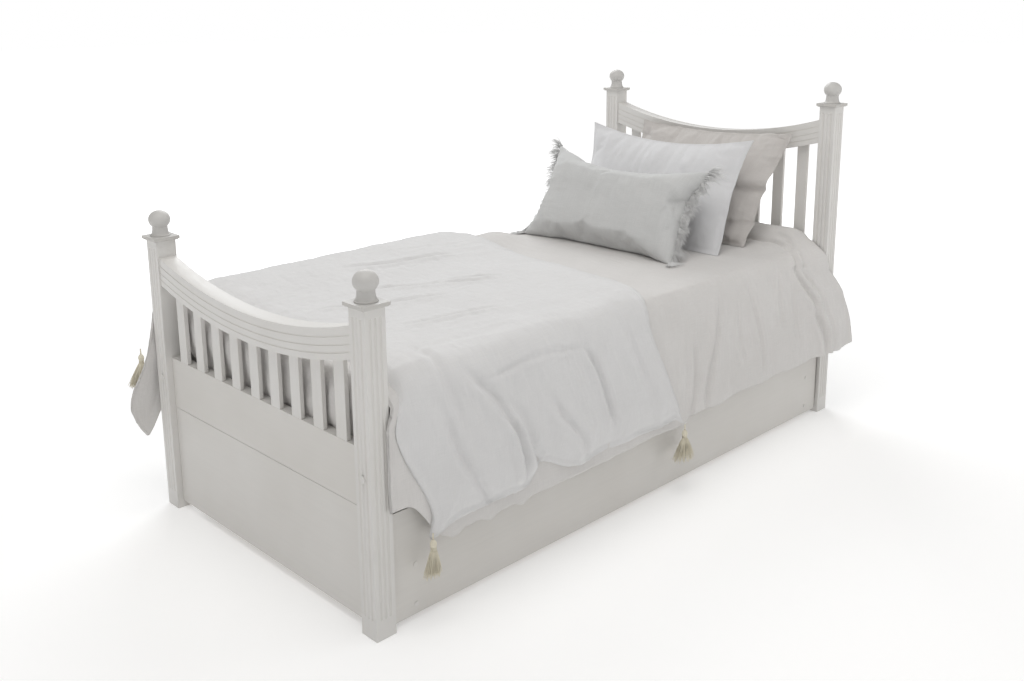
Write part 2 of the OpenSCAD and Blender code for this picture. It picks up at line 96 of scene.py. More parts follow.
def add_area_light(name, place, aim, size, watts, colour):
    data = bpy.data.lights.new(name, "AREA")
    data.shape = "RECTANGLE"
    data.size, data.size_y = size
    data.energy = watts
    data.color = colour
    light = bpy.data.objects.new(name, data)
    light.location = place
    light.rotation_euler = (Vector(aim) - Vector(place)).to_track_quat("-Z", "Y").to_euler()
    to_scene(light)


def add_world(fill, fill_colour):
    world = bpy.data.worlds.new("studio")
    world.use_nodes = True
    tree = world.node_tree
    soft = tree.nodes["Background"]
    soft.inputs["Color"].default_value = (*fill_colour, 1)
    soft.inputs["Strength"].default_value = fill
    seen = tree.nodes.new("ShaderNodeBackground")
    seen.inputs["Color"].default_value = (1, 1, 1, 1)
    seen.inputs["Strength"].default_value = 1.0
    path = tree.nodes.new("ShaderNodeLightPath")
    mix = tree.nodes.new("ShaderNodeMixShader")
    tree.links.new(path.outputs["Is Camera Ray"], mix.inputs["Fac"])
    tree.links.new(soft.outputs[0], mix.inputs[1])
    tree.links.new(seen.outputs[0], mix.inputs[2])
    tree.links.new(mix.outputs[0], tree.nodes["World Output"].inputs["Surface"])
    bpy.context.scene.world = world


def add_floor():
    """A white floor with a little light of its own, so that only the shadow near the bed shows."""
    half = 30
    mesh = bpy.data.meshes.new("floor")
    corners = [(-half, -half, 0), (half, -half, 0), (half, half, 0), (-half, half, 0)]
    mesh.from_pydata(corners, [], [(0, 1, 2, 3)])
    floor = bpy.data.objects.new("floor", mesh)
    to_scene(floor)
    look = Look("floor_white", (0.90, 0.90, 0.90), 0.9)
    look.set("Emission Color", (1, 1, 1, 1))
    coords = look.node("ShaderNodeTexCoord")
    distance = look.node("ShaderNodeVectorMath", operation="LENGTH")
    look.link(coords.outputs["Object"], distance.inputs[0])
    glow = look.node("ShaderNodeMapRange", {"From Min": 1.5, "From Max": 4.2,
                                            "To Min": FLOOR_GLOW[0], "To Max": FLOOR_GLOW[1]},
                     interpolation_type="SMOOTHSTEP")
    look.link(distance.outputs["Value"], glow.inputs["Value"])
    look.link(glow.outputs["Result"], look.shader.inputs["Emission Strength"])
    floor.data.materials.append(look.material)


# ---- materials

class Look:
    """A material with one Principled shader, and short calls that add nodes to it."""

    def __init__(self, name, colour, roughness):
        self.material = bpy.data.materials.new(name)
        self.material.use_nodes = True
        self.tree = self.material.node_tree
        self.shader = self.tree.nodes["Principled BSDF"]
        self.set("Base Color", (*colour, 1))
        self.set("Roughness", roughness)

    def set(self, socket, value):
        self.shader.inputs[socket].default_value = value

    def node(self, kind, values=None, **properties):
        made = self.tree.nodes.new(kind)
        for key, value in properties.items():
            setattr(made, key, value)
        for key, value in (values or {}).items():
            made.inputs[key].default_value = value
        return made

    def link(self, output, socket):
        self.tree.links.new(output, socket)

    def place(self, source, scale):
        """Texture space: Object for CAD nodes, UV in metres for cloth."""
        coords = self.node("ShaderNodeTexCoord")
        mapping = self.node("ShaderNodeMapping", {"Scale": scale})
        self.link(coords.outputs[source], mapping.inputs["Vector"])
        return mapping.outputs[0]

    def noise(self, source, scale, detail=3.0, roughness=0.55):
        made = self.node("ShaderNodeTexNoise", {"Scale": 1.0, "Detail": detail,
                                                "Roughness": roughness})
        self.link(self.place(source, scale), made.inputs["Vector"])
        return made.outputs["Fac"]

    def wave(self, source, scale, direction):
        made = self.node("ShaderNodeTexWave", {"Scale": 1.0}, wave_type="BANDS",
                         bands_direction=direction, wave_profile="SIN")
        self.link(self.place(source, scale), made.inputs["Vector"])
        return made.outputs["Fac"]

    def ramp(self, value, low, high, low_colour, high_colour):
        made = self.node("ShaderNodeValToRGB")
        made.color_ramp.elements[0].position = low
        made.color_ramp.elements[1].position = high
        made.color_ramp.elements[0].color = (*low_colour, 1)
        made.color_ramp.elements[1].color = (*high_colour, 1)
        self.link(value, made.inputs["Fac"])
        return made.outputs["Color"]

    def multiply(self, colour_a, colour_b, amount=1.0):
        made = self.node("ShaderNodeMix", data_type="RGBA", blend_type="MULTIPLY")
        made.inputs["Factor"].default_value = amount
        self.link(colour_a, made.inputs[6])
        self.link(colour_b, made.inputs[7])
        return made.outputs[2]

    def bump(self, height, strength, distance, under=None):
        made = self.node("ShaderNodeBump", {"Strength": strength, "Distance": distance})
        self.link(height, made.inputs["Height"])
        if under is not None:
            self.link(under, made.inputs["Normal"])
        return made.outputs["Normal"]


def grey(value):
    return (value, value, value)


def painted_wood(name, grain, level=1.0):
    """Satin white paint over wood: brush lines and faint grain along one axis, worn edges, painted
    shade in grooves, and painted shade over all of it where level is below 1.
    """
    look = Look(name, (0.73, 0.72, 0.70), 0.42)
    fine, coarse = 900.0, 120.0
    lines = look.noise("Object", tuple(fine * g for g in grain), 2.0)
    ripple = look.noise("Object", tuple(coarse * g for g in grain), 3.0)
    cloudy = look.noise("Object", (4.0, 4.0, 4.0), 2.0)
    tone = look.ramp(cloudy, 0.3, 0.7, (0.705, 0.690, 0.665), (0.738, 0.726, 0.706))
    # brush streaks along the grain; a level below 1 darkens the whole paint as painted shade
    streak_and_painted_shade = look.ramp(ripple, 0.25, 0.75, grey(0.965 * level), grey(level))
    shape = look.node("ShaderNodeNewGeometry")
    # painted shade: the paint is darker in grooves and inner corners (low Pointiness)
    painted_groove_shade = look.ramp(shape.outputs["Pointiness"], 0.46, 0.50, (0.94, 0.93, 0.915), grey(1.0))
    worn = look.ramp(shape.outputs["Pointiness"], 0.55, 0.64, grey(1.0), (0.93, 0.915, 0.89))
    colour = look.multiply(tone, streak_and_painted_shade)
    colour = look.multiply(colour, painted_groove_shade)
    colour = look.multiply(colour, worn)
    look.link(colour, look.shader.inputs["Base Color"])
    look.link(look.ramp(ripple, 0.3, 0.7, grey(0.36), grey(0.52)), look.shader.inputs["Roughness"])
    normal = look.bump(lines, 0.12, 0.0004)
    normal = look.bump(ripple, 0.20, 0.0012, normal)
    look.link(normal, look.shader.inputs["Normal"])
    look.set("Specular IOR Level", 0.45)
    return look.material


def bare_wood(name, grain):
    """Planed pine with rings stretched along the grain."""
    look = Look(name, (0.60, 0.43, 0.26), 0.6)
    rings = look.noise("Object", tuple(55.0 * g for g in grain), 4.0, 0.6)
    fibres = look.noise("Object", tuple(700.0 * g for g in grain), 2.0)
    tone = look.ramp(rings, 0.35, 0.65, (0.47, 0.31, 0.17), (0.68, 0.51, 0.33))
    thread = look.ramp(fibres, 0.3, 0.7, grey(0.86), grey(1.0))
    look.link(look.multiply(tone, thread), look.shader.inputs["Base Color"])
    look.link(look.bump(fibres, 0.3, 0.0004), look.shader.inputs["Normal"])
    return look.material


def zinc_steel(name):
    look = Look(name, (0.60, 0.61, 0.63), 0.38)
    look.set("Metallic", 1.0)
    cloud = look.noise("Object", grey(140.0), 3.0)
    look.link(look.ramp(cloud, 0.3, 0.7, (0.52, 0.53, 0.55), (0.68, 0.69, 0.71)),
              look.shader.inputs["Base Color"])
    look.link(look.ramp(cloud, 0.3, 0.7, grey(0.28), grey(0.5)), look.shader.inputs["Roughness"])
    look.link(look.bump(cloud, 0.1, 0.0003), look.shader.inputs["Normal"])
    return look.material


def caster_rubber(name):
    look = Look(name, (0.05, 0.05, 0.055), 0.55)
    dust = look.noise("Object", grey(160.0), 4.0)
    look.link(look.ramp(dust, 0.35, 0.75, (0.035, 0.035, 0.04), (0.10, 0.10, 0.10)),
              look.shader.inputs["Base Color"])
    look.link(look.bump(dust, 0.3, 0.0004), look.shader.inputs["Normal"])
    return look.material


def woven(name, colour, shade, slub=0.05, crinkle=0.5, thread_mm=1.1, sheen=0.25):
    """Plain-woven cloth on UVs in metres: threads both ways, slubs, crinkles and a little fuzz."""
    look = Look(name, colour, 0.92)
    bands = 2 * math.pi / (20.0 * thread_mm * 0.001)
    warp = look.wave("UV", (bands, bands, 1), "X")
    weft = look.wave("UV", (bands, bands, 1), "Y")
    threads = look.node("ShaderNodeMath", operation="MAXIMUM")
    look.link(warp, threads.inputs[0])
    look.link(weft, threads.inputs[1])
    slub_x = look.noise("UV", (22.0, 750.0, 1), 3.0, 0.6)
    slub_y = look.noise("UV", (750.0, 22.0, 1), 3.0, 0.6)
    blotch = look.noise("UV", (6.0, 6.0, 1), 3.0)
    creases = look.noise("UV", (48.0, 14.0, 1), 5.0, 0.62)
    tone = look.ramp(blotch, 0.3, 0.7, shade, colour)
    across = look.ramp(slub_x, 0.35, 0.65, grey(1 - slub), grey(1.0))
    along = look.ramp(slub_y, 0.35, 0.65, grey(1 - slub), grey(1.0))
    tone = look.multiply(look.multiply(tone, across), along)
    look.link(tone, look.shader.inputs["Base Color"])
    normal = look.bump(creases, 0.35 * crinkle, 0.008)
    normal = look.bump(slub_x, 0.25, 0.0012, normal)
    normal = look.bump(slub_y, 0.25, 0.0012, normal)
    normal = look.bump(threads.outputs[0], 0.35, 0.0004, normal)
    look.link(normal, look.shader.inputs["Normal"])
    look.set("Sheen Weight", sheen)
    look.set("Sheen Roughness", 0.5)
    look.set("Specular IOR Level", 0.2)
    return look.material


def make_looks():
    return {
        "paint_upright": painted_wood("paint_upright", (1, 1, 0.05)),
        "paint_across": painted_wood("paint_across", (1, 0.05, 1)),
        "paint_along": painted_wood("paint_along", (0.05, 1, 1)),
        # finials and caps: the same paint at level 0.80, darker as painted shade
        "paint_turned_shaded": painted_wood("paint_turned_shaded", (1, 1, 0.4), 0.80),
        "pine_across": bare_wood("pine_across", (1, 0.05, 1)),
        "pine_along": bare_wood("pine_along", (0.05, 1, 1)),
        "steel": zinc_steel("zinc_steel"),
        "rubber": caster_rubber("caster_rubber"),
        "beige": woven("beige_linen", (0.750, 0.733, 0.718), (0.715, 0.697, 0.680), 0.05, 0.9),
        "white": woven("white_linen", (0.770, 0.766, 0.766), (0.742, 0.737, 0.736), 0.035, 1.0),
        "grey": woven("grey_linen", (0.665, 0.668, 0.662), (0.620, 0.624, 0.620), 0.07),
        "thread": woven("grey_thread", (0.910, 0.910, 0.905), (0.860, 0.860, 0.855), 0.10, 0.2),
        "flange": woven("white_percale", (0.740, 0.740, 0.752), (0.715, 0.715, 0.725), 0.02, 0.3),
        "sham": woven("beige_sham", (0.640, 0.612, 0.590), (0.600, 0.572, 0.548)),
        "ticking": woven("ticking", (0.78, 0.77, 0.74), (0.74, 0.73, 0.70), 0.03, 0.2),
        "cotton": woven("cream_cotton", (0.90, 0.85, 0.72), (0.85, 0.79, 0.63), 0.12, 0.3, 2.2),
    }


# ---- CAD nodes

ACROSS = ("top_rail", "panel", "trundle_foot_end", "trundle_head_end")
ALONG = ("side_rail", "trundle_front", "trundle_back")
STEEL = ("rail_bolts", "barrel_nuts", "caster_plates", "_fork", "_axle")
TURNED = ("finial", "_cap")
ROUNDED_EDGE = 0.0016
GROOVED_EDGE = 0.0005


def look_of(node, slot):
    if slot == "bare_pine":
        return "pine_along" if "ledges" in node else "pine_across"
    if any(word in node for word in STEEL):
        return "steel"
    if node.endswith("_wheel"):
        return "rubber"
    # finials and caps get the darker paint, painted shade
    if any(word in node for word in TURNED):
        return "paint_turned_shaded"
    if any(word in node for word in ACROSS):
        return "paint_across"
    return "paint_along" if any(word in node for word in ALONG) else "paint_upright"


def dress_cad_nodes(looks):
    """Every hard CAD node keeps its mesh and gets its material and softened edges."""
    soft = ("beige_linen", "white_linen", "grey_linen", "cream_cotton", "ticking")
    for part in frame["record"]["subparts"]:
        if part["material_slot"] in soft:
            continue
        piece = NODES[part["node"]]
        piece.data.materials.clear()
        piece.data.materials.append(looks[look_of(part["node"], part["material_slot"])])
        weld = piece.modifiers.new("weld", "WELD")
        weld.merge_threshold = 0.00002
        bevel = piece.modifiers.new("edges", "BEVEL")
        bevel.width = GROOVED_EDGE if "top_rail" in part["node"] else ROUNDED_EDGE
        bevel.segments = 2
        bevel.limit_method = "ANGLE"
        bevel.angle_limit = math.radians(40)


# ---- mesh and noise helpers

def value_noise(u, v, seed):
    """Smooth noise from -1 to 1 on a lattice of spacing 1."""
    table = np.random.RandomState(seed).rand(256, 256) * 2 - 1
    iu, iv = np.floor(u).astype(int), np.floor(v).astype(int)
    fu, fv = u - iu, v - iv
    fu, fv = fu * fu * (3 - 2 * fu), fv * fv * (3 - 2 * fv)
    a, b = table[iu % 256, iv % 256], table[(iu + 1) % 256, iv % 256]
    c, d = table[iu % 256, (iv + 1) % 256], table[(iu + 1) % 256, (iv + 1) % 256]
    return (a * (1 - fu) + b * fu) * (1 - fv) + (c * (1 - fu) + d * fu) * fv


def wrinkles(u, v, across, along, seed):
    """Sharp-crested folds running along v, about `across` apart and `along` long."""
    bend = 0.8 * value_noise(u / (3 * across), v / along, seed + 1)
    first = 1 - 2 * np.abs(value_noise(u / across + bend, v / along, seed))
    second = 1 - 2 * np.abs(value_noise(u / (0.45 * across) + bend, v / (0.6 * along), seed + 2))
    patch = 0.5 + 0.5 * value_noise(u / (5 * across), v / (1.5 * along), seed + 3)
    return (first + 0.45 * second) * patch


def smooth(value, low, high):
    s = np.clip((value - low) / (high - low), 0, 1)
    return s * s * (3 - 2 * s)


def new_piece(name, points, faces, uv_points, material):
    mesh = bpy.data.meshes.new(name)
    mesh.from_pydata(np.asarray(points).tolist(), [], faces)
    layer = mesh.uv_layers.new(name="cloth")
    loops = read(mesh.loops, "vertex_index", 1, np.int32)[:, 0]
    layer.data.foreach_set("uv", np.asarray(uv_points, np.float32)[loops].ravel())
    mesh.materials.append(material)
    mesh.shade_smooth()
    piece = bpy.data.objects.new(name, mesh)
    to_scene(piece)
    return piece


def grid_faces(rows, columns, start=0, flip=False):
    faces = []
    for i in range(rows - 1):
        for j in range(columns - 1):
            a = start + i * columns + j
            quad = (a, a + 1, a + columns + 1, a + columns)
            faces.append(quad[::-1] if flip else quad)
    return faces


def read(items, attribute, width, kind=np.float32):
    """One attribute of every item, in `width` columns."""
    values = np.zeros(len(items) * width, kind)
    items.foreach_get(attribute, values)
    return values.reshape(-1, width)


def get_points(piece):
    return read(piece.data.vertices, "co", 3).astype(float)


def rim_of(index):
    """The outer ring of a grid of vertex numbers, in order."""
    return np.concatenate([index[0, :], index[1:, -1], index[-1, -2::-1], index[-2:0:-1, 0]])


def band_faces(first, second):
    """Quads that join two closed rings of vertex numbers."""
    following = np.roll(np.arange(len(first)), -1)
    quads = np.stack([first, first[following], second[following], second], -1)
    return [tuple(quad) for quad in quads.tolist()]


def length_along(path):
    return np.concatenate([[0], np.cumsum(np.linalg.norm(np.diff(path, axis=0), axis=1))])


def set_points(piece, points):
    piece.data.vertices.foreach_set("co", np.asarray(points, np.float32).ravel())
    piece.data.update()


def add_subdivision(piece):
    sub = piece.modifiers.new("smooth", "SUBSURF")
    sub.levels = sub.render_levels = 1


def simulate(piece, frames, cap, bending, pressure=0.0, grow=0.0, held=None, tension=12.0):
    """Runs Blender's cloth, without gravity, and keeps the result, at most `cap` from the start.

    grow lengthens every thread, so that the cloth buckles. held gives each vertex the
    share of its place that it keeps."""
    cloth = piece.modifiers.new("cloth", "CLOTH")
    s = cloth.settings
    s.quality = 6
    s.mass = 0.25
    s.tension_stiffness = s.compression_stiffness = tension
    s.shear_stiffness = tension / 3
    s.bending_stiffness = bending
    s.air_damping = 2.0
    s.effector_weights.gravity = 0
    s.shrink_min = -grow
    if pressure:
        s.use_pressure = True
        s.uniform_pressure_force = pressure
    if held is not None:
        group = piece.vertex_groups.new(name="held")
        for level in np.unique(np.round(held, 2)):
            chosen = np.nonzero(np.round(held, 2) == level)[0]
            group.add(chosen.tolist(), float(level), "REPLACE")
        s.vertex_group_mass = "held"
        s.pin_stiffness = 1.0
    cloth.collision_settings.use_collision = False
    cloth.point_cache.frame_start = 1
    cloth.point_cache.frame_end = frames
    scene = bpy.context.scene
    for number in range(1, frames + 1):
        scene.frame_set(number)
    graph = bpy.context.evaluated_depsgraph_get()
    moved = piece.evaluated_get(graph).to_mesh()
    after = read(moved.vertices, "co", 3).astype(float)
    before = get_points(piece)
    piece.modifiers.remove(cloth)
    piece.vertex_groups.clear()
    step = after - before
    length = np.linalg.norm(step, axis=1, keepdims=True)
    set_points(piece, before + step * np.minimum(1, cap / np.maximum(length, 1e-9)))
    scene.frame_set(1)


def press_folds(piece, folds):
    """Applies one subdivision, then raises the cloth along its normals by folds(u, v), where
    u and v are the point's place on the flat cloth."""
    add_subdivision(piece)
    graph = bpy.context.evaluated_depsgraph_get()
    fine = bpy.data.meshes.new_from_object(piece.evaluated_get(graph), depsgraph=graph)
    piece.modifiers.clear()
    piece.data = fine
    fine.name = piece.name
    corners = read(fine.loops, "vertex_index", 1, np.int32)[:, 0]
    places = np.zeros((len(fine.vertices), 2))
    places[corners] = read(fine.uv_layers[0].data, "uv", 2)
    rise = folds(places[:, 0], places[:, 1])
    normals = read(fine.vertices, "normal", 3)
    set_points(piece, get_points(piece) + normals * rise[:, None])


# ---- covers on the bed

MATTRESS_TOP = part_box("mattress")[1].z
MATTRESS_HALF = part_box("mattress")[1].y
POST_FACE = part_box("foot_near_post")[0].y
POST_INNER_X = -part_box("foot_near_post")[1].x
COVERLET_TOP = MATTRESS_TOP + 0.018
# Cross-section of the coverlet from the middle of the bed to its hem: outwards, and down
COVERLET_SECTION = [(0.0, 0.0), (0.20, 0.001), (0.38, 0.001), (0.440, 0.004), (0.466, 0.016),
                    (0.482, 0.042), (0.494, 0.090), (0.507, 0.160), (0.519, 0.260),
                    (0.532, 0.395)]
EDGE = 0.455


class Section:
    """Half of a cover's cross-section, by the distance along the cloth from the middle."""

    def __init__(self, points, lift):
        points = np.array(points, float)
        places = np.linspace(0, len(points) - 1, 600)
        i = np.clip(places.astype(int), 0, len(points) - 2)
        t = (places - i)[:, None]
        p0, p1 = points[np.maximum(i - 1, 0)], points[i]
        p2, p3 = points[i + 1], points[np.minimum(i + 2, len(points) - 1)]
        curve = 0.5 * (2 * p1 + (p2 - p0) * t + (2 * p0 - 5 * p1 + 4 * p2 - p3) * t ** 2
                       + (3 * p1 - p0 - 3 * p2 + p3) * t ** 3)
        self.length = length_along(curve)
        self.out, self.drop = curve[:, 0], curve[:, 1]
        d_out, d_drop = np.gradient(self.out), np.gradient(self.drop)
        size = np.hypot(d_out, d_drop)
        self.normal_out, self.normal_up = d_drop / size, d_out / size
        self.lift = lift

    def at(self, t, height):
        """y and z for signed distances t, raised by height along the cloth's own normal."""
        reach = np.abs(t)
        extra = np.maximum(reach - self.length[-1], 0)
        out = np.interp(reach, self.length, self.out)
        drop = np.interp(reach, self.length, self.drop) + extra
        n_out = np.interp(reach, self.length, self.normal_out)
        n_up = np.interp(reach, self.length, self.normal_up)
        out = out + n_out * height
        return np.sign(t) * out, self.lift - drop + n_up * height


def clear_posts(x, y, z, margin=0.006):
    """Beside a post the cloth passes outside it."""
    beside = smooth(np.abs(x), POST_INNER_X - 0.075, POST_INNER_X - 0.004)
    low = smooth(-z, -COVERLET_TOP + 0.004, -COVERLET_TOP + 0.05)
    need = -POST_FACE + margin
    wanted = np.maximum(np.abs(y), need)
    hanging = (np.abs(y) > MATTRESS_HALF + 0.01) * beside * low
    return np.sign(y) * (np.abs(y) * (1 - hanging) + wanted * hanging)


def far_side_rise(t, s, start):
    """How far the bedding is fuller towards the far edge; nothing from 0.6 down the side."""
    return 0.026 * smooth(t, start, 0.42) * (1 - smooth(s, 0.0, 0.6))


def share_down(t, hem):
    """0 at the mattress edge and 1 at the hem."""
    return np.clip((np.abs(t) - EDGE) / (hem - EDGE), 0, 1)


COVERLET_HEM = 0.868
COVERLET_LENGTH = 1.95
CLOTH_STEP = 0.010
# Pressed or pulled lines on a cover: from (x, distance from the middle) to the same, depth, width
COVERLET_CREASES = [(0.880, 0.300, 0.880, -0.340, 0.009, 0.010),
                    (0.880, -0.340, 0.825, -0.450, 0.010, 0.010),
                    (0.825, -0.450, 0.800, -0.510, 0.012, 0.010),
                    (0.800, -0.510, 0.880, -0.665, 0.016, 0.012),
                    (0.880, -0.665, 0.925, -0.850, 0.015, 0.012),
                    (0.915, -0.340, 0.862, -0.450, 0.007, 0.008),
                    (0.862, -0.450, 0.838, -0.515, 0.009, 0.009),
                    (0.838, -0.515, 0.918, -0.670, 0.011, 0.010),
                    (0.918, -0.670, 0.962, -0.850, 0.010, 0.011),
                    (0.52, -0.500, 0.56, -0.830, 0.008, 0.012),
                    (0.68, -0.480, 0.70, -0.700, 0.006, 0.010),
                    (0.35, -0.520, 0.24, -0.840, 0.009, 0.012),
                    (0.22, -0.620, 0.16, -0.860, 0.008, 0.010),
                    (0.76, -0.560, 0.77, -0.780, 0.005, 0.010),
                    (0.44, -0.560, 0.45, -0.760, 0.006, 0.010)]


def creases(x, t, lines):
    """Each crease is a sharp valley with a soft ridge on both sides."""
    total = np.zeros_like(x)
    for x0, t0, x1, t1, depth, width in lines:
        dx, dt = x1 - x0, t1 - t0
        length = math.hypot(dx, dt)
        along = ((x - x0) * dx + (t - t0) * dt) / length ** 2
        across = ((x - x0) * dt - (t - t0) * dx) / length
        across = across + 0.008 * np.sin(along * 5 + x0 * 20)
        ends = smooth(along, -0.15, 0.25) * (1 - smooth(along, 0.85, 1.15))
        valley = -np.exp(-(across / width) ** 2)
        ridge = 0.8 * np.exp(-((across - 2.1 * width) / (1.5 * width)) ** 2)
        ridge += 0.5 * np.exp(-((across + 2.1 * width) / (1.5 * width)) ** 2)
        total += depth * ends * (valley + ridge)
    return total


def make_coverlet(look):
    """One linen sheet over the bed; its corners flare past the near head post and the far
    foot post, and its foot end is tucked down behind the foot slats."""
    section = Section(COVERLET_SECTION, COVERLET_TOP)
    columns = int(2 * COVERLET_HEM / CLOTH_STEP)
    rows = int(COVERLET_LENGTH / CLOTH_STEP)
    t = np.linspace(-COVERLET_HEM, COVERLET_HEM, columns)[None, :]
    u = np.linspace(0, 1, rows)[:, None]
    s = share_down(t, COVERLET_HEM)
    near, far = (t < 0) * s, (t > 0) * s
    head = 0.972 - 0.016 * smooth(np.abs(t), 0.41, 0.445)
    head = head + 0.112 * smooth(near, 0.0, 0.8) + 0.012 * smooth(near, 0.6, 1)
    head = head + 0.09 * smooth(far, 0.0, 0.9)
    foot = -0.955 - 0.055 * smooth(far, 0.0, 0.12) - 0.080 * smooth(far, 0.05, 0.85)
    foot = foot - 0.015 * smooth(near, 0.15, 0.35)
    foot = foot + 0.045 * smooth(far, 0.86, 1.0)
    x = foot + (head - foot) * u
    t = np.broadcast_to(t, x.shape).copy()
    s = np.broadcast_to(s, x.shape)
    # the near hem is hitched up beside the foot post, and the far corner is cut to a point
    hitch = 0.105 * (1 - smooth(x, -0.93, -0.82)) * (t < 0)
    hitch = hitch + (0.019 * smooth(x, 0.08, 0.22) + 0.024 * smooth(x, 0.70, 1.00)) * (t < 0)
    hitch = hitch + 0.055 * smooth(-x, 1.055, 1.10) * (t > 0)
    hitch = hitch + 0.085 * (1 - smooth(-x, 0.99, 1.05)) * smooth(-x, 0.90, 0.99) * (t > 0)
    ripple = 0.004 * value_noise(x / 0.16, x * 0 + 3.0, 5)
    scallop = 0.012 * np.maximum(0, np.sin(2 * math.pi * (x + 0.82) / 0.115)) * (t < 0)
    scallop = scallop * smooth(x, -0.86, -0.80) * (1 - smooth(x, -0.50, -0.44))
    t -= np.sign(t) * (hitch + ripple - scallop) * s
    folds = 0.005 * np.sin(2 * math.pi * x / 0.23 + 2.0 * value_noise(x / 0.4, t * 0, 11))
    folds += 0.004 * value_noise(x / 0.07, t * 2.0, 12)
    hang = smooth(s, 0.0, 0.9)
    flare = 0.022 * hang * smooth(-x, 0.90, 1.02) * (t > 0)
    flare = flare + 0.042 * smooth(s, 0.0, 0.45) * smooth(x, 0.72, 1.02)
    folds = folds * (0.35 + 0.65 * smooth(x, 0.0, 0.14))
    height = folds * hang + 0.0015 * value_noise(x / 0.12, t / 0.12, 41)
    y, z = section.at(t, height)
    y = clear_posts(x, y + np.sign(t) * flare, z)
    z = z + far_side_rise(t, s, 0.28) * (1 - smooth(x, 0.25, 0.37))
    # a roll of spare cloth pushed up against the head end
    roll = smooth(x, 0.870, 0.945) * (1 - smooth(np.abs(t), 0.36, 0.56))
    z = z + 0.046 * roll + 0.005 * roll * value_noise(y / 0.09, x * 0, 42)
    # the tuck: over the end of the mattress and down behind the slats
    tuck_out = np.array([0.0, 0.012, 0.021, 0.026, 0.027, 0.024, 0.018, 0.014])
    tuck_down = np.array([0.0, 0.004, 0.016, 0.036, 0.070, 0.110, 0.140, 0.160])
    order = np.linspace(len(tuck_out) - 1, 0, 16, endpoint=False)[:, None]
    places = np.arange(len(tuck_out))
    out, down = np.interp(order, places, tuck_out), np.interp(order, places, tuck_down)
    on_top = 1 - smooth(np.abs(t[0:1]), EDGE - 0.06, EDGE - 0.005)
    edge_x, edge_y, edge_z = x[0:1], y[0:1], z[0:1]
    shiver = 0.006 * value_noise(edge_y / 0.035, down / 0.06, 51) * np.minimum(down / 0.04, 1)
    flap_x = edge_x - (out + np.maximum(shiver, -out * 0.4)) * on_top
    flap_x = flap_x - 0.001 * order * (1 - on_top)
    flap_y, flap_z = edge_y + 0 * down, edge_z - down * on_top
    points = np.stack([np.vstack([flap_x, x]), np.vstack([flap_y, y]), np.vstack([flap_z, z])], -1)
    uv = np.stack([np.vstack([edge_x - down, x]), np.vstack([t[0:1] + 0 * down, t])], -1)
    rows += len(order)
    count = rows * columns
    piece = new_piece("coverlet", points.reshape(count, 3),
                      grid_faces(rows, columns, flip=True), uv.reshape(count, 2), look)
    simulate(piece, 12, 0.005, 0.05, grow=0.012, held=np.full(count, 0.45))
    press_folds(piece, coverlet_folds)
    thick = piece.modifiers.new("thickness", "SOLIDIFY")
    thick.thickness = 0.0022
    thick.offset = -1
    return piece


def coverlet_folds(x, t):
    """Pressed lines, fine linen wrinkles down the sides, and the ridge along the near edge."""
    side = 0.30 + 0.70 * smooth(np.abs(t), 0.42, 0.52)
    fine = 0.0026 * wrinkles(x, t, 0.045, 0.26, 21) + 0.0013 * wrinkles(x, t, 0.020, 0.12, 31)
    ridge = 0.003 * np.exp(-((t + 0.462) / 0.010) ** 2) * smooth(x, 0.0, 0.12)
    return creases(x, t, COVERLET_CREASES) + fine * side + ridge


DUVET_NEAR_HEM = 0.838
DUVET_FAR_HEM = 0.600
DUVET_PUFF = 0.022
DUVET_LENGTH = 1.08
UNDER_LAYER = 10.0     # the under layer's place on the flat cloth is shifted by this
# The duvet's head edge: x at distances from the middle of the bed towards the near side
DUVET_HEAD_T = [0.0, 0.13, 0.27, 0.36, 0.43, 0.48, 0.54, 0.61, 0.69, 0.77, 0.838]
DUVET_HEAD_X = [0.122, 0.108, 0.092, 0.070, 0.030, 0.000, -0.004, 0.016, 0.056, 0.098, 0.128]
DUVET_CREASES = [(-0.718, -0.480, -0.617, -0.626, 0.004, 0.012),
                 (-0.617, -0.626, -0.545, -0.790, 0.009, 0.011),
                 (-0.600, -0.600, -0.492, -0.790, 0.005, 0.013),
                 (-0.312, -0.520, -0.208, -0.760, 0.005, 0.009),
                 (-0.450, -0.620, -0.330, -0.810, 0.005, 0.012),
                 (-0.130, -0.480, -0.040, -0.800, 0.003, 0.014),
                 (-0.824, -0.560, -0.690, -0.830, 0.004, 0.012),
                 (-0.800, -0.380, -0.770, -0.620, 0.003, 0.012),
                 (-0.680, -0.517, -0.318, -0.515, 0.0018, 0.006),
                 (-0.369, 0.02, -0.170, -0.03, 0.003, 0.008),
                 (-0.560, 0.10, -0.250, -0.05, 0.003, 0.009),
                 (-0.800, 0.05, -0.450, -0.10, 0.003, 0.010),
                 (-0.700, -0.22, -0.400, -0.30, 0.0025, 0.009),
                 (-0.500, 0.30, -0.150, 0.22, 0.003, 0.009)]


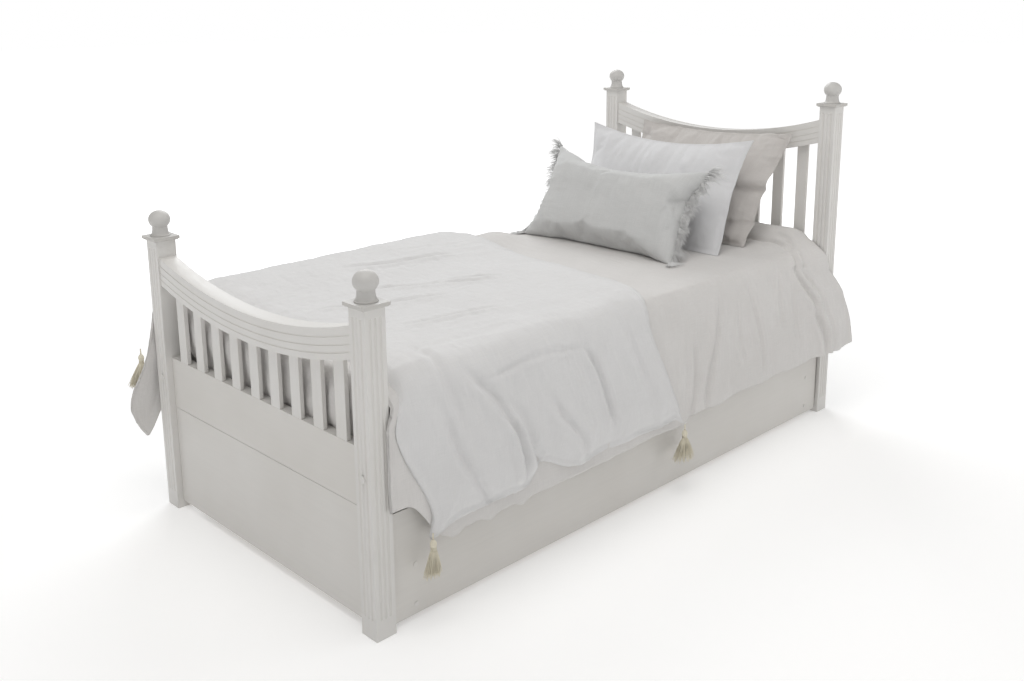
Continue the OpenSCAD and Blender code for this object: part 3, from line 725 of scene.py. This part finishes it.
def make_duvet(look):
    """A padded cover over the foot of the bed, hanging lower on the near side; its top layer
    is blown up by cloth simulation over a held under layer, inside a flat sewn border."""
    section = Section(COVERLET_SECTION, COVERLET_TOP)
    t_line = np.linspace(-DUVET_NEAR_HEM, DUVET_FAR_HEM,
                         int((DUVET_NEAR_HEM + DUVET_FAR_HEM) / CLOTH_STEP))[None, :]
    rows = int(DUVET_LENGTH / CLOTH_STEP)
    columns = t_line.shape[1]
    u = np.linspace(0, 1, rows)[:, None]
    near = share_down(t_line, DUVET_NEAR_HEM) * (t_line < 0)
    far = share_down(t_line, DUVET_FAR_HEM) * (t_line > 0)
    places = np.linspace(0, 1, 200)
    edge = np.interp(places, DUVET_HEAD_T, DUVET_HEAD_X)
    kernel = np.hanning(15) / np.hanning(15).sum()
    edge = np.convolve(np.pad(edge, 7, mode="edge"), kernel, mode="valid")
    head = np.interp(-t_line, places, edge)
    foot = -0.944 - 0.010 * smooth(near, 0.1, 0.25) + 0.092 * smooth(near, 0.20, 0.90)
    foot = foot - 0.014 * smooth(near, 0.85, 1.0)
    foot = foot - 0.052 * smooth(far, 0.0, 0.25) - 0.040 * far ** 1.3
    x = foot + (head - foot) * u
    t = np.broadcast_to(t_line, x.shape).copy()
    side_near, side_far = np.broadcast_to(near, x.shape), np.broadcast_to(far, x.shape)
    # hem: pointed corners, one deep notch where the strong crease ends, and soft scallops
    tips = 0.018 * smooth(-u, -0.08, 0) + 0.030 * smooth(u, 0.94, 1.0)
    notch = -0.046 * np.exp(-np.where(x < -0.495, (x + 0.495) / 0.030, (x + 0.495) / 0.075) ** 2)
    scallop = 0.005 * value_noise(x / 0.09, x * 0 + 1.5, 61)
    t -= (tips + notch + scallop) * smooth(side_near, 0.35, 1)
    t += 0.030 * smooth(-u, -0.10, 0) * side_far ** 2
    gap = np.minimum(np.minimum(u, 1 - u) * DUVET_LENGTH,
                     np.minimum(t_line - t_line[0, 0], t_line[0, -1] - t_line))
    full = smooth(gap, 0.010, 0.11) ** 0.7
    seam = -0.0022 * np.exp(-((gap - 0.020) / 0.005) ** 2)
    hanging = smooth(np.maximum(side_near, side_far), 0.1, 1)
    waves = 0.005 * np.sin(2 * math.pi * (x + 0.25 * t) / 0.21
                           + 1.5 * value_noise(x / 0.3, t, 71)) * hanging
    base = 0.006 + 0.003 * value_noise(x / 0.18, t / 0.4, 72)
    lumps = 0.004 * value_noise(x / 0.20, t / 0.22, 73)
    lumps = lumps + 0.0015 * value_noise(x / 0.07, t / 0.1, 74)
    upper = base + waves + full * (DUVET_PUFF + lumps) + seam + 0.0025
    lower = base + waves - 0.004 * hanging - 0.007 * (1 - smooth(gap, 0.0, 0.03))
    fold_down = 0.030 * (1 - smooth(u * DUVET_LENGTH, 0.0, 0.05)) * (1 - np.maximum(near, far))
    layers = []
    for height in (upper, lower):
        y, z = section.at(t, height)
        y = y + 0.018 * smooth(-x, 0.92, 1.02) * (t > 0) * side_far
        y = clear_posts(x, y, z, 0.008 + height * 0.3)
        z = z + 1.25 * far_side_rise(t, side_far, 0.10)
        layers.append(np.stack([x + 0 * z, y, z - fold_down], -1))
    count = rows * columns
    top = np.arange(count).reshape(rows, columns)
    faces = grid_faces(rows, columns, 0, flip=True) + grid_faces(rows, columns, count)
    rim = rim_of(top)
    faces += band_faces(rim, rim + count)
    points = np.concatenate([layers[0].reshape(count, 3), layers[1].reshape(count, 3)])
    uv = np.tile(np.stack([x, t], -1).reshape(count, 2), (2, 1))
    uv[count:, 0] += UNDER_LAYER
    piece = new_piece("duvet", points, faces, uv, look)
    held = np.concatenate([np.full(count, 0.35), np.full(count, 1.0)])
    simulate(piece, 14, 0.008, 0.08, pressure=0.6, grow=0.014, held=held)
    press_folds(piece, duvet_folds)
    return piece


def duvet_folds(x, t):
    """Pressed lines, and fine linen wrinkles that lean on the sides and run along the top."""
    hanging = smooth(np.abs(t), 0.44, 0.54)
    lean = x + 0.35 * t
    fine = 0.0032 * wrinkles(lean, t, 0.042, 0.30, 75) * hanging
    fine += 0.0024 * wrinkles(t + 0.12 * x, x, 0.040, 0.30, 77) * (1 - hanging)
    fine += 0.0012 * wrinkles(lean, t, 0.020, 0.12, 76) * (0.5 + 0.5 * hanging)
    on_top = x < UNDER_LAYER / 2
    return (2.2 * creases(x, t, DUVET_CREASES) + fine) * on_top


# ---- threads, tassels and fringe

GOLDEN_ANGLE = 2.399963
SKIRT_THREADS = 140
FRINGE_TUFTS = 64
TUFT_THREADS = 14


class Strands:
    """Collects thin tapered threads into one mesh."""

    def __init__(self):
        self.points, self.faces, self.uv = [], [], []

    def add(self, path, radii, sides=4):
        path = np.asarray(path, float)
        start = len(self.points)
        run = np.gradient(path, axis=0)
        run /= np.maximum(np.linalg.norm(run, axis=1, keepdims=True), 1e-9)
        length = length_along(path)
        guide = np.array([1.0, 0, 0]) if abs(run[0][0]) < 0.8 else np.array([0, 1.0, 0])
        for i, centre in enumerate(path):
            a = np.cross(run[i], guide)
            a /= np.linalg.norm(a)
            b = np.cross(run[i], a)
            for k in range(sides):
                angle = 2 * math.pi * k / sides
                offset = radii[i] * (math.cos(angle) * a + math.sin(angle) * b)
                self.points.append(centre + offset)
                self.uv.append((0.002 * k, length[i]))
        rings = len(path)
        for i in range(rings - 1):
            for k in range(sides):
                a, b = start + i * sides + k, start + i * sides + (k + 1) % sides
                self.faces.append((a, b, b + sides, a + sides))
        self.faces.append(tuple(start + k for k in reversed(range(sides))))
        self.faces.append(tuple(start + (rings - 1) * sides + k for k in range(sides)))

    def build(self, name, look):
        return new_piece(name, self.points, self.faces, self.uv, look)


TASSEL_LENGTH = 0.108


def make_tassel(name, look, top, tip_shift, spread, seed):
    """A cord, a bound head and a skirt of loose threads, hanging from top."""
    strands = Strands()
    random = np.random.RandomState(seed)
    top = np.array(top)
    steps = np.linspace(0, 1, 7)
    hang = np.array([tip_shift[0], tip_shift[1], 0.0])
    cord_end = top + np.array([0, 0, -0.016])
    strands.add([top + (cord_end - top) * k for k in (0, 0.5, 1.0)], [0.0022, 0.0020, 0.0022], 6)
    head = [(0.0, 0.002), (0.003, 0.0055), (0.008, 0.0082), (0.013, 0.0088), (0.018, 0.0072),
            (0.021, 0.0062), (0.024, 0.0070), (0.027, 0.0062)]
    strands.add([cord_end + np.array([0, 0, -d]) for d, _ in head], [r for _, r in head], 12)
    for ring in range(3):
        circle = [cord_end + np.array([0.0068 * math.cos(a), 0.0068 * math.sin(a),
                                       -0.0205 - 0.0018 * ring]) for a in
                  np.linspace(0, 2 * math.pi, 15)]
        strands.add(circle, [0.0010] * 15, 4)
    waist = cord_end + np.array([0, 0, -0.024])
    skirt = TASSEL_LENGTH - 0.040
    for i in range(SKIRT_THREADS):
        angle = GOLDEN_ANGLE * i
        reach = math.sqrt((i + 0.5) / SKIRT_THREADS)
        out = np.array([math.cos(angle) * 1.25, math.sin(angle) * 0.75, 0.0]) * reach
        wobble = random.uniform(-1, 1, 3) * 0.003
        this = skirt * random.uniform(0.90, 1.04)
        path = [waist + out * (0.005 + spread * k ** 0.8) + wobble * k * k + hang * k
                + np.array([0, 0, -this * k]) for k in steps]
        strands.add(path, [0.0011 * (1 - 0.35 * k) for k in steps], 4)
    return strands.build(name, look)


def make_fringe(name, look, seam, side, seed):
    """Frayed linen: tufts of threads along one short seam of the front cushion."""
    random = np.random.RandomState(seed)
    strands = Strands()
    seam = np.asarray(seam)
    seam = seam[np.argsort(seam[:, 2])]
    length = length_along(seam)
    along = seam[-1] - seam[0]
    along /= np.linalg.norm(along)
    outward = np.array([0.0, side, 0.0])
    front = np.cross(along, outward)
    front *= -np.sign(front[0])
    longer = 1.0 if side < 0 else 1.35
    ear = 0.9 if side < 0 else 0.1
    forward = 0.15 if side < 0 else 0.85
    for i in range(FRINGE_TUFTS):
        share = (i + 0.5) / FRINGE_TUFTS
        base = np.array([np.interp(share * length[-1], length, seam[:, k]) for k in range(3)])
        base = base - outward * 0.007
        corner = max(0, abs(share - 0.5) - 0.38) / 0.12
        fan = 2.0 * (share - 0.5) ** 3 * 4 + 0.30 * math.sin(1.9 * i) + random.uniform(-0.2, 0.2)
        turn = forward + 0.35 * math.sin(0.8 * i + 1) + random.uniform(-0.15, 0.15)
        droop = random.uniform(0.25, 0.60)
        reach = longer * random.uniform(0.032, 0.046) * (1.0 + ear * corner)
        aim = outward + along * fan + front * turn
        aim /= np.linalg.norm(aim)
        curl = random.uniform(-1, 1, 3) * 0.010
        for _ in range(TUFT_THREADS):
            spread = random.uniform(-1, 1, 3) * 0.006
            own = aim + random.uniform(-1, 1, 3) * 0.30
            own /= np.linalg.norm(own)
            this = reach * random.uniform(0.6, 1.1)
            path = []
            for k in np.linspace(0, 1, 6):
                point = base + spread * 0.6 + own * this * k + curl * k * k
                point = point + np.array([0, 0, -droop * this * k * k])
                point[2] = max(point[2], PILLOW_REST + 0.014 + 0.0015 * random.uniform())
                path.append(point)
            strands.add(path, [0.0011, 0.0012, 0.0012, 0.0010, 0.0008, 0.0004], 3)
    return strands.build(name, look)


# ---- mattresses

def make_mattress(name, node, look, corner, quilt):
    """A soft block with rounded corners, piping round both edges and a quilted top."""
    low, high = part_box(node)
    middle = 0.5 * (low + high)
    half_x, half_y, height = (high.x - low.x) / 2, (high.y - low.y) / 2, high.z - low.z
    columns, rows = int(2 * half_x / 0.02), int(2 * half_y / 0.02)
    gx = np.linspace(-1, 1, columns)[None, :] * half_x + np.zeros((rows, 1))
    gy = np.linspace(-1, 1, rows)[:, None] * half_y + np.zeros((1, columns))

    def rounded(x, y, inset):
        x, y = x * (1 - inset / half_x), y * (1 - inset / half_y)
        r = corner - inset
        cx, cy = half_x - inset - r, half_y - inset - r
        dx, dy = np.maximum(np.abs(x) - cx, 0), np.maximum(np.abs(y) - cy, 0)
        most, size = np.maximum(dx, dy), np.maximum(np.hypot(dx, dy), 1e-9)
        both = (dx > 0) & (dy > 0)
        dx, dy = np.where(both, dx * most / size, dx), np.where(both, dy * most / size, dy)
        return (np.sign(x) * (np.minimum(np.abs(x), cx) + dx),
                np.sign(y) * (np.minimum(np.abs(y), cy) + dy))

    edge = np.minimum(half_x - np.abs(gx), half_y - np.abs(gy))
    dimple = np.abs(np.cos(math.pi * gx / quilt) * np.cos(math.pi * gy / quilt)) ** 0.6
    crown = 0.006 * smooth(edge, 0.0, 0.12) + 0.004 * dimple * smooth(edge, 0.02, 0.10)
    inset = 0.016
    cap_x, cap_y = rounded(gx, gy, inset)
    count = rows * columns
    index = np.arange(count).reshape(rows, columns)
    ring = rim_of(index)
    rx, ry = gx.reshape(-1)[ring], gy.reshape(-1)[ring]
    top_z, low_z = height / 2 - 0.010, -height / 2
    points = [np.stack([cap_x, cap_y, top_z + crown], -1).reshape(-1, 3)]
    around = np.concatenate([[0], np.cumsum(np.hypot(np.diff(rx), np.diff(ry)))])
    uv = [np.stack([cap_x, cap_y], -1).reshape(-1, 2)]
    profile = [(0.010, top_z - 0.001), (0.005, top_z - 0.004), (0.003, top_z - 0.008),
               (0.000, top_z - 0.010), (-0.001, top_z - 0.013), (0.001, top_z - 0.016),
               (0.004, top_z - 0.018)]
    side = [(0.004 - 0.004 * math.sin(math.pi * k), top_z - 0.018 + k * (low_z - top_z + 0.036))
            for k in np.linspace(0.08, 0.92, 9)]
    profile = profile + side + [(p, low_z + top_z - q) for p, q in profile[::-1]]
    for p, q in profile:
        x, y = rounded(rx, ry, max(p, -0.002) + 0.002)
        points.append(np.stack([x, y, np.full(len(ring), q)], -1))
        uv.append(np.stack([around, np.full(len(ring), q)], -1))
    points.append(np.stack([cap_x, cap_y, np.full_like(cap_x, low_z)], -1).reshape(-1, 3))
    uv.append(np.stack([cap_x, cap_y], -1).reshape(-1, 2))
    faces = grid_faces(rows, columns)
    previous = ring
    start = count
    for _ in profile:
        current = start + np.arange(len(ring))
        faces += [quad[::-1] for quad in band_faces(previous, current)]
        previous = current
        start += len(ring)
    faces += [quad[::-1] for quad in band_faces(previous, ring + start)]
    faces += grid_faces(rows, columns, start, flip=True)
    points = np.concatenate(points) + np.array([middle.x, middle.y, middle.z])
    piece = new_piece(name, points, faces, np.concatenate(uv), look)
    add_subdivision(piece)
    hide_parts(node)
    return piece


# ---- pillows

def make_pillow(name, look, size, lean, place, shape, seed):
    """A cloth envelope blown up by simulation, then leant back and settled on the bed.

    shape: flange width, dip of the top edge, pull of the short sides, how far the near top
    corner is lower, pressure, growth."""
    width, height, loft = size
    flange, dip, pull, tilt, pressure, grow = shape
    step = 0.009
    columns, rows = int(width / step) | 1, int(height / step) | 1
    v = np.linspace(-1, 1, columns)[None, :]
    w = np.linspace(-1, 1, rows)[:, None]
    y, z = v * width / 2 + 0 * w, w * height / 2 + 0 * v
    inside = np.minimum(width / 2 - np.abs(y), height / 2 - np.abs(z)) - flange
    inner_v = np.clip(np.abs(y) / (width / 2 - flange), 0, 1)
    inner_w = np.clip(np.abs(z) / (height / 2 - flange), 0, 1)
    belly = ((1 - inner_v ** 2.6) * (1 - inner_w ** 2.6)) ** 0.55
    creased = 0.004 * wrinkles(y, z, 0.05, 0.25, seed) + 0.003 * wrinkles(z, y, 0.06, 0.3, seed + 7)
    ripple = 0.003 * value_noise(y / 0.05, z / 0.05, seed + 3) * (flange > 0)
    thin = 0.0011
    uv = np.stack([y, z], -1).reshape(-1, 2)
    y = y - pull * v * (1 - w ** 2)
    z = z - (dip * (1 - v ** 2) + tilt * 0.5 * (1 - v)) * np.clip(w, 0, 1) ** 1.5
    on_rim = np.minimum(1 - np.abs(v), 1 - np.abs(w)) <= 0
    points = []
    for face in (1, -1):
        out = face * (belly * (0.5 * loft + creased) + thin * ~on_rim) + ripple
        points.append(np.stack([-out, y, z], -1).reshape(-1, 3))
    count = rows * columns
    index = np.arange(count).reshape(rows, columns)
    rim = rim_of(index)
    merge = np.arange(2 * count)
    merge[rim + count] = rim
    faces = grid_faces(rows, columns, 0, flip=True) + [
        tuple(int(merge[k]) for k in face) for face in grid_faces(rows, columns, count)]
    used = np.unique(np.concatenate([np.array(face) for face in faces]))
    renumber = np.full(2 * count, -1)
    renumber[used] = np.arange(len(used))
    faces = [tuple(int(renumber[k]) for k in face) for face in faces]
    piece = new_piece(name, np.concatenate(points)[used], faces, np.tile(uv, (2, 1))[used], look)
    border = np.tile((inside.reshape(-1) < 0) & (flange > 0), 2)[used]
    held = np.where(border, 0.9, 0.0)
    simulate(piece, 20, 0.045, 0.04, pressure=pressure, grow=grow,
             held=held if flange > 0 else None, tension=10)
    settle(piece, height, lean, place, renumber[index[0, :]])
    ends = [renumber[index[:, 0]], renumber[index[:, -1]]]
    return piece, ends


def settle(piece, height, lean, place, bottom):
    """Stands the envelope on its lower edge, leans it back and presses it on to the bed."""
    p = get_points(piece)
    p[:, 2] += height / 2
    top = np.clip(p[:, 2] / height, 0, 1)
    p[:, 0] += 0.012 * np.sin(top * math.pi) - 0.030 * np.clip(1 - top / 0.3, 0, 1) ** 2
    c, s = math.cos(lean), math.sin(lean)
    x = p[:, 0] * c + p[:, 2] * s
    z = -p[:, 0] * s + p[:, 2] * c
    low = 0.001
    soft = 0.008
    order = bottom[np.argsort(p[bottom, 1])]
    under = np.interp(p[:, 1], p[order, 1], z[order])
    z = z - (under - 0.004) * (1 - top) ** 1.3
    z = low + soft * np.logaddexp(0, (z - low) / soft)
    p[:, 0], p[:, 2] = x + place[0], z + place[2]
    p[:, 1] += place[1]
    set_points(piece, p)


def slump_sham(piece):
    """The rear cushion has sunk: a fold across it, narrower and rolled below the fold."""
    p = get_points(piece)
    rise = p[:, 2] - PILLOW_REST
    middle = -0.038
    offset = p[:, 1] - middle
    narrow = 0.19 * (1 - smooth(rise, 0.14, 0.42))
    p[:, 1] = middle + offset * (1 - narrow * (0.35 + 0.65 * (offset < 0)))
    groove = np.exp(-((rise - 0.235 - 0.12 * offset) / 0.010) ** 2)
    shelf = np.exp(-((rise - 0.268 - 0.12 * offset) / 0.020) ** 2)
    roll = np.exp(-((rise - 0.048) / 0.018) ** 2)
    crimp = np.exp(-((rise - 0.082) / 0.008) ** 2)
    front = smooth(-(p[:, 0] - 0.80 - 0.40 * rise), -0.02, 0.03)
    p[:, 0] += front * (0.026 * groove - 0.020 * shelf - 0.016 * roll + 0.014 * crimp)
    set_points(piece, p)


def end_wrinkles(y, z, depth, seed):
    """Wrinkles that run in from both short ends of a cushion, and faint ones all over."""
    ends = smooth(np.abs(y), 0.10, 0.33)
    spread = z / (0.6 + np.abs(y))
    return depth * (ends * wrinkles(spread, y, 0.045, 0.16, seed)
                    + 0.35 * wrinkles(y + 0.2 * z, z, 0.05, 0.2, seed + 4))


PILLOW_REST = COVERLET_TOP - 0.010


def make_pillows(looks):
    front, ends = make_pillow("front_cushion", looks["grey"], (0.70, 0.385, 0.10),
                              math.radians(31), (0.396, 0.066, PILLOW_REST),
                              (0.0, 0.020, 0.010, 0.018, 3.4, 0.030), 101)
    middle, _ = make_pillow("middle_cushion", looks["flange"], (0.735, 0.43, 0.09),
                            math.radians(23), (0.612, 0.048, PILLOW_REST),
                            (0.018, 0.046, 0.036, 0.008, 2.8, 0.016), 201)
    rear, _ = make_pillow("rear_cushion", looks["sham"], (0.665, 0.43, 0.09),
                          math.radians(21.5), (0.782, -0.038, PILLOW_REST),
                          (0.016, 0.022, 0.008, 0.0, 2.8, 0.026), 301)
    slump_sham(rear)
    for piece, node, name in ((front, "front_pillow", "grey_linen"),
                              (middle, "middle_pillow", "white_linen"),
                              (rear, "rear_pillow", "beige_linen")):
        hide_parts(node)
        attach(piece, "bed")
    seam_points = get_points(front)
    for rows, side, tag in ((ends[0], -1, "near"), (ends[1], 1, "far")):
        fringe = make_fringe("fringe_" + tag, looks["thread"], seam_points[rows], side,
                             401 if side < 0 else 402)
        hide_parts("pillow_fringe")
        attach(fringe, "bed")
    press_folds(front, lambda y, z: end_wrinkles(y, z, 0.0045, 111))
    press_folds(middle, lambda y, z: end_wrinkles(y, z, 0.0012, 211))
    press_folds(rear, lambda y, z: end_wrinkles(y, z, 0.0040, 311))


def make_tassels(looks):
    places = {"near_foot_tassel": ((-0.880, -0.553, 0.244), (-0.004, 0.0), 0.016, "near_tassels"),
              "near_head_tassel": ((0.104, -0.553, 0.222), (-0.003, 0.0), 0.030, "near_tassels"),
              "far_foot_tassel": ((-1.046, 0.560, 0.478), (-0.018, 0.0), 0.017, "far_tassels"),
              "far_head_tassel": ((0.115, 0.556, 0.440), (0.0, 0.0), 0.022, "far_tassels")}
    for seed, (name, (top, shift, spread, node)) in enumerate(places.items()):
        tassel = make_tassel(name, looks["cotton"], top, shift, spread, 501 + seed)
        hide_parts(node)
        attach(tassel, "bed")
        if node == "near_tassels":
            give_way(tassel)


# ---- run

def give_way(piece):
    """Gives what hangs in front of the trundle a mesh of its own."""
    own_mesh(piece)


def main():
    add_camera()
    add_world(0.38, (1.0, 0.995, 0.985))
    add_area_light("window", (2.2, 3.2, 3.4), (0.2, 0.0, 0.5), (3.5, 2.5), 95, (0.96, 0.98, 1.0))
    add_area_light("ceiling", (-1.1, -0.7, 4.2), (0.3, 0.0, 0.6), (3.0, 3.0), 71,
                   (1.0, 0.985, 0.965))
    add_area_light("head_side", (2.3, -2.6, 2.0), (0.75, -0.2, 0.7), (1.6, 1.6), 9,
                   (1.0, 0.99, 0.97))
    add_floor()
    scene = bpy.context.scene
    scene.view_settings.view_transform = "Standard"
    looks = make_looks()
    dress_cad_nodes(looks)

    coverlet = make_coverlet(looks["beige"])
    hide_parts("coverlet_top", "coverlet_near_drape", "coverlet_far_drape")
    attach(coverlet, "bed")
    give_way(coverlet)
    duvet = make_duvet(looks["white"])
    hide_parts("duvet_top", "duvet_near_drape", "duvet_far_drape")
    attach(duvet, "bed")
    give_way(duvet)
    make_pillows(looks)
    make_tassels(looks)
    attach(make_mattress("mattress_pad", "mattress", looks["ticking"], 0.045, 0.16), "bed")
    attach(make_mattress("trundle_pad", "trundle_mattress", looks["ticking"], 0.045, 0.16),
            "trundle")


main()
